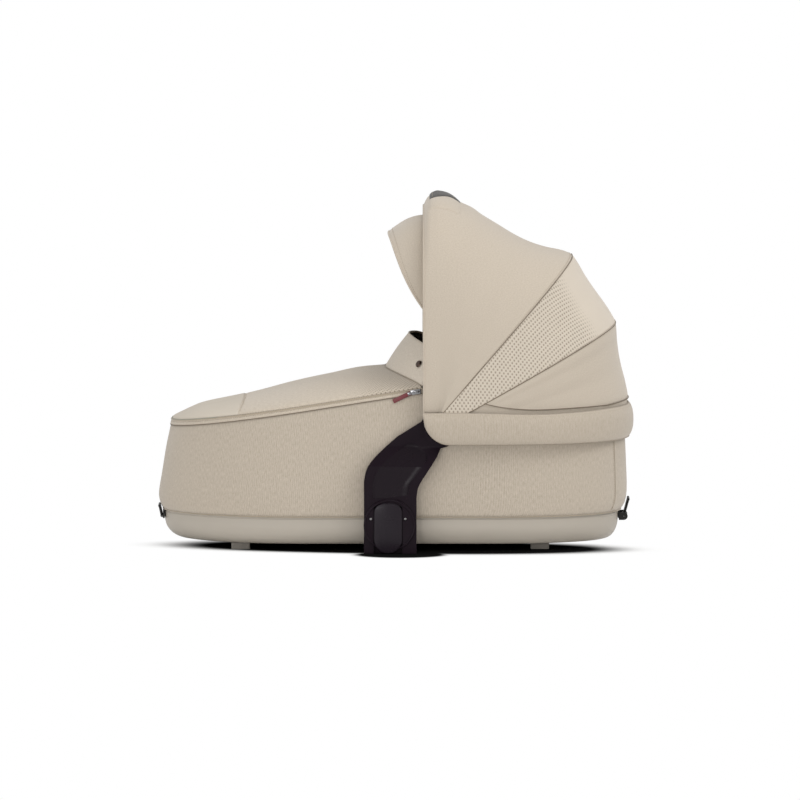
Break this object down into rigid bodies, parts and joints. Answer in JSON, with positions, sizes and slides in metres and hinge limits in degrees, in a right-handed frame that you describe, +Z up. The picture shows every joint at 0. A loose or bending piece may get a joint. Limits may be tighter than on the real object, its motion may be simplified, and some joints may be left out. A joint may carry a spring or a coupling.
{
  "type": "carrycot",
  "caption": "Pram carrycot with a moulded tray, fabric walls, zipped apron with wind flap, and a folding ribbed hood with handle and visor on side arms with chassis sockets.",
  "frame": {"origin": "centre of the footprint, on the surface that the cot stands on", "axes": "+Z up, +X towards the head end, +Y across to the baby's right"},
  "size_m": [0.818, 0.4498, 0.6102],
  "materials": {
    "moulded_shell": "fine moulded grain",
    "wall_fabric": "woven, fine rib",
    "apron_fabric": "woven melange",
    "hood_fabric": "smooth woven",
    "knitted_mesh": "knitted lozenges",
    "black_lining": "plain woven",
    "leather_look": "fine grain, satin",
    "dark_moulding": "satin moulded",
    "zinc": "polished zinc",
    "steel": "plated",
    "dark_bronze": "dark bronze plate",
    "burgundy_leather": "satin",
    "rubber": "matt",
    "black_moulding": "fine grain",
    "board": "pressed board",
    "cotton": "cotton",
    "grip_leather": "stitched"
  },
  "bodies": {
    "cot": {"base_tray": "moulded_shell", "base_board": "board", "rubber_foot_foot_left": "rubber", "rubber_foot_foot_right": "rubber", "rubber_foot_head_left": "rubber", "rubber_foot_head_right": "rubber", "outer_wall": "wall_fabric", "zip_tape": "wall_fabric", "hood_band": "wall_fabric", "inner_liner": "cotton", "mattress": "cotton", "rim_tube": "steel", "hub_pin_left": "steel", "hub_pin_right": "steel", "button_spring_left": "steel", "button_spring_right": "steel", "foot_catch_pin": "steel", "head_catch_pin": "steel", "side_arm_left": "dark_moulding", "side_arm_right": "dark_moulding", "adaptor_disc_left": "dark_moulding", "adaptor_disc_right": "dark_moulding", "adaptor_screw_left_1": "zinc", "adaptor_screw_left_2": "zinc", "adaptor_screw_right_1": "zinc", "adaptor_screw_right_2": "zinc", "hood_rear_panel": "hood_fabric", "foot_catch_bracket": "black_moulding", "head_catch_bracket": "black_moulding"},
    "rear_rib": {"rib_rear": "dark_moulding", "hood_mesh_panel": "knitted_mesh"},
    "middle_rib": {"rib_middle": "dark_moulding"},
    "hood_bow": {"hood_bow": "dark_moulding", "handle": "leather_look", "handle_grip": "grip_leather", "hood_front_panel": "hood_fabric", "visor": "hood_fabric"},
    "visor_wire": {"visor_wire": "hood_fabric"},
    "apron": {"apron_cover": "apron_fabric", "apron_toe_patch": "leather_look"},
    "wind_flap": {"wind_flap": "apron_fabric", "flap_lining": "black_lining", "flap_snap_left": "dark_bronze", "flap_snap_right": "dark_bronze"},
    "zip_slider_left": {"zip_slider_left": "zinc"},
    "zip_slider_right": {"zip_slider_right": "zinc"},
    "zip_puller_left": {"zip_puller_left": "burgundy_leather"},
    "zip_puller_right": {"zip_puller_right": "burgundy_leather"},
    "release_button_left": {"release_button_left": "dark_moulding"},
    "release_button_right": {"release_button_right": "dark_moulding"},
    "foot_catch": {"foot_catch_lever": "black_moulding"},
    "head_catch": {"head_catch_lever": "black_moulding"}
  },
  "joints": [
    {"name": "hood_rear_rib", "type": "hinge", "parent": "cot", "child": "rear_rib", "pos_m": [0.076, 0, 0.213], "axis": [0, 1, 0], "range_deg": [0, 14.6]},
    {"name": "hood_middle_rib", "type": "hinge", "parent": "rear_rib", "child": "middle_rib", "pos_m": [0.076, 0, 0.213], "axis": [0, 1, 0], "range_deg": [0, 12.2]},
    {"name": "hood_fold", "type": "hinge", "parent": "middle_rib", "child": "hood_bow", "pos_m": [0.076, 0, 0.213], "axis": [0, 1, 0], "range_deg": [0, 24], "deforming": ["hood_front_panel", "hood_mesh_panel", "hood_rear_panel"]},
    {"name": "visor_fold", "type": "hinge", "parent": "hood_bow", "child": "visor_wire", "pos_m": [0.0526, 0, 0.40898], "axis": [0, 1, 0], "range_deg": [0, 28], "deforming": ["visor"]},
    {"name": "apron_open", "type": "hinge", "parent": "cot", "child": "apron", "pos_m": [-0.385, 0, 0.20662], "axis": [0, -1, 0], "range_deg": [0, 110]},
    {"name": "flap_fold", "type": "hinge", "parent": "apron", "child": "wind_flap", "pos_m": [-0.016, 0, 0.3041], "axis": [0, -1, 0], "range_deg": [0, 110], "deforming": ["wind_flap", "flap_lining"]},
    {"name": "zip_slide_left", "type": "slide", "parent": "cot", "child": "zip_slider_left", "axis": [-0.9879, 0, -0.1551], "range_m": [0, 0.18]},
    {"name": "puller_swing_left", "type": "hinge", "parent": "zip_slider_left", "child": "zip_puller_left", "pos_m": [0.02681, -0.19555, 0.27519], "axis": [-0.1551, 0, 0.9879], "range_deg": [0, 90]},
    {"name": "button_press_left", "type": "slide", "parent": "cot", "child": "release_button_left", "axis": [0, 1, 0], "range_m": [0, 0.004], "stiffness_N_per_m": 400, "springref_m": -0.003, "deforming": ["button_spring_left"]},
    {"name": "zip_slide_right", "type": "slide", "parent": "cot", "child": "zip_slider_right", "axis": [-0.9879, 0, -0.1551], "range_m": [0, 0.18]},
    {"name": "puller_swing_right", "type": "hinge", "parent": "zip_slider_right", "child": "zip_puller_right", "pos_m": [0.02681, 0.19555, 0.27519], "axis": [0.1551, 0, -0.9879], "range_deg": [0, 90]},
    {"name": "button_press_right", "type": "slide", "parent": "cot", "child": "release_button_right", "axis": [0, -1, 0], "range_m": [0, 0.004], "stiffness_N_per_m": 400, "springref_m": -0.003, "deforming": ["button_spring_right"]},
    {"name": "foot_catch_swing", "type": "hinge", "parent": "cot", "child": "foot_catch", "pos_m": [-0.40325, 0, 0.0475], "axis": [0, -1, 0], "range_deg": [0, 60]},
    {"name": "head_catch_swing", "type": "hinge", "parent": "cot", "child": "head_catch", "pos_m": [0.39635, 0, 0.0475], "axis": [0, 1, 0], "range_deg": [0, 60]}
  ],
  "couplings": [
    {"joint": "hood_rear_rib", "follows": "hood_fold", "ratio": 0.6},
    {"joint": "hood_middle_rib", "follows": "hood_fold", "ratio": 0.5}
  ]
}
